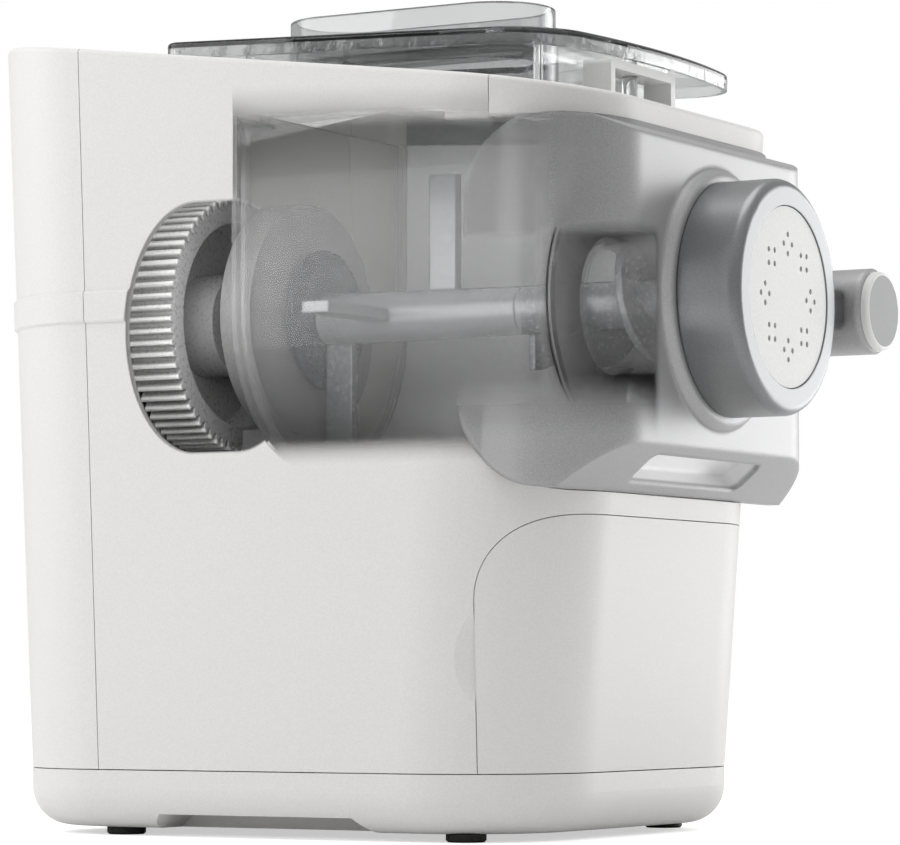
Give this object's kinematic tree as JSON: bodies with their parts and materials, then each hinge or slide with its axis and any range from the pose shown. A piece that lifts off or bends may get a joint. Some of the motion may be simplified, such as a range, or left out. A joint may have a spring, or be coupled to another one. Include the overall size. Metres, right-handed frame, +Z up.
{
  "type": "electric pasta maker",
  "caption": "Countertop electric pasta maker with a clear mixing chamber, geared paddle and auger drive, clamped front panel with shaping disc, lift-off lid and storage drawer.",
  "frame": {"origin": "centre of the outline on the table, under the feet", "axes": "+X to the right seen from the front (the lock knob's side), +Y to the rear, +Z up; the front panel faces -Y"},
  "size_m": [0.2064, 0.3199, 0.3216],
  "materials": {
    "white_plastic": "satin",
    "silver_paint": "satin",
    "light_grey_plastic": "matte",
    "gear_plastic": "matte",
    "clear_plastic": "polished",
    "mixer_plastic": "glossy",
    "dark_plastic": "matte",
    "black_rubber": "matte",
    "bare_steel": "brushed",
    "bush_bronze": "satin",
    "board_green": "matte",
    "magnet_black": "matte",
    "button_grey": "satin"
  },
  "bodies": {
    "housing": {"base_tray": "white_plastic", "rubber_feet": "black_rubber", "side_casing": "white_plastic", "rear_cover": "white_plastic", "casing_screws": "bare_steel", "power_inlet": "dark_plastic", "front_frame": "white_plastic", "top_deck": "white_plastic", "control_panel": "silver_paint", "display_lens": "dark_plastic", "circuit_board": "board_green", "lid_catch": "white_plastic", "lid_switch": "dark_plastic", "well_liner": "light_grey_plastic", "mixing_chamber": "clear_plastic", "shaft_seal": "black_rubber", "bearing_housing": "light_grey_plastic", "front_bush": "bush_bronze", "gear_plate": "bare_steel", "rear_bush": "bush_bronze", "motor_mount": "bare_steel", "idler_pin": "bare_steel", "motor_case": "bare_steel", "motor_magnets": "magnet_black", "drawer_runners": "white_plastic"},
    "mixer": {"mixing_paddles": "mixer_plastic", "auger": "mixer_plastic", "drive_gear": "gear_plastic", "drive_shaft": "bare_steel"},
    "idler": {"idler_gear": "gear_plastic"},
    "rotor": {"motor_rotor": "bare_steel", "motor_pinion": "bare_steel", "cooling_fan": "dark_plastic"},
    "lid": {"lid_plate": "clear_plastic", "lid_rim": "clear_plastic", "lid_skirt": "clear_plastic", "lid_chute": "clear_plastic", "lid_key": "clear_plastic"},
    "drawer": {"drawer_front": "white_plastic", "drawer_tray": "white_plastic", "disc_rack": "light_grey_plastic", "spare_discs": "light_grey_plastic"},
    "front_cover": {"front_panel": "silver_paint", "extrusion_tube": "clear_plastic", "tube_gasket": "black_rubber", "shaping_disc": "light_grey_plastic"},
    "ring": {"locking_ring": "silver_paint"},
    "knob": {"lock_knob": "silver_paint", "knob_cap": "dark_plastic", "lock_bolt": "bare_steel"},
    "power_button": {"power_button": "button_grey"},
    "program_button": {"program_button": "button_grey"},
    "weight_button": {"weight_button": "button_grey"},
    "timer_button": {"timer_button": "button_grey"},
    "start_button": {"start_button": "button_grey"}
  },
  "joints": [
    {"name": "mixer_spin", "type": "hinge", "parent": "housing", "child": "mixer", "pos_m": [0, 0.1, 0.20275], "axis": [0, 1, 0], "continuous": true},
    {"name": "idler_spin", "type": "hinge", "parent": "housing", "child": "idler", "pos_m": [0, 0.1, 0.1405], "axis": [0, 1, 0], "continuous": true},
    {"name": "rotor_spin", "type": "hinge", "parent": "housing", "child": "rotor", "pos_m": [0, 0.05, 0.1045], "axis": [0, 1, 0], "continuous": true},
    {"name": "lid_lift", "type": "slide", "parent": "housing", "child": "lid", "axis": [0, 0, 1], "range_m": [0, 0.1]},
    {"name": "drawer_slide", "type": "slide", "parent": "housing", "child": "drawer", "axis": [0, -1, 0], "range_m": [0, 0.11]},
    {"name": "front_cover_pull", "type": "slide", "parent": "housing", "child": "front_cover", "axis": [0, -1, 0], "range_m": [0, 0.12]},
    {"name": "ring_turn", "type": "hinge", "parent": "front_cover", "child": "ring", "pos_m": [0, -0.14, 0.20275], "axis": [0, -1, 0], "range_deg": [0, 60]},
    {"name": "knob_turn", "type": "hinge", "parent": "front_cover", "child": "knob", "pos_m": [0.072, -0.14, 0.20275], "axis": [0, -1, 0], "range_deg": [0, 90]},
    {"name": "power_press", "type": "slide", "parent": "housing", "child": "power_button", "axis": [0, 0.126, -0.992], "range_m": [0, 0.0012], "stiffness_N_per_m": 400, "springref_m": -0.0003},
    {"name": "program_press", "type": "slide", "parent": "housing", "child": "program_button", "axis": [0, 0.126, -0.992], "range_m": [0, 0.0012], "stiffness_N_per_m": 400, "springref_m": -0.0003},
    {"name": "weight_press", "type": "slide", "parent": "housing", "child": "weight_button", "axis": [0, 0.126, -0.992], "range_m": [0, 0.0012], "stiffness_N_per_m": 400, "springref_m": -0.0003},
    {"name": "timer_press", "type": "slide", "parent": "housing", "child": "timer_button", "axis": [0, 0.126, -0.992], "range_m": [0, 0.0012], "stiffness_N_per_m": 400, "springref_m": -0.0003},
    {"name": "start_press", "type": "slide", "parent": "housing", "child": "start_button", "axis": [0, 0.126, -0.992], "range_m": [0, 0.0012], "stiffness_N_per_m": 400, "springref_m": -0.0003}
  ],
  "couplings": [
    {"joint": "idler_spin", "follows": "mixer_spin", "ratio": -4.1875},
    {"joint": "rotor_spin", "follows": "mixer_spin", "ratio": 20.938}
  ]
}
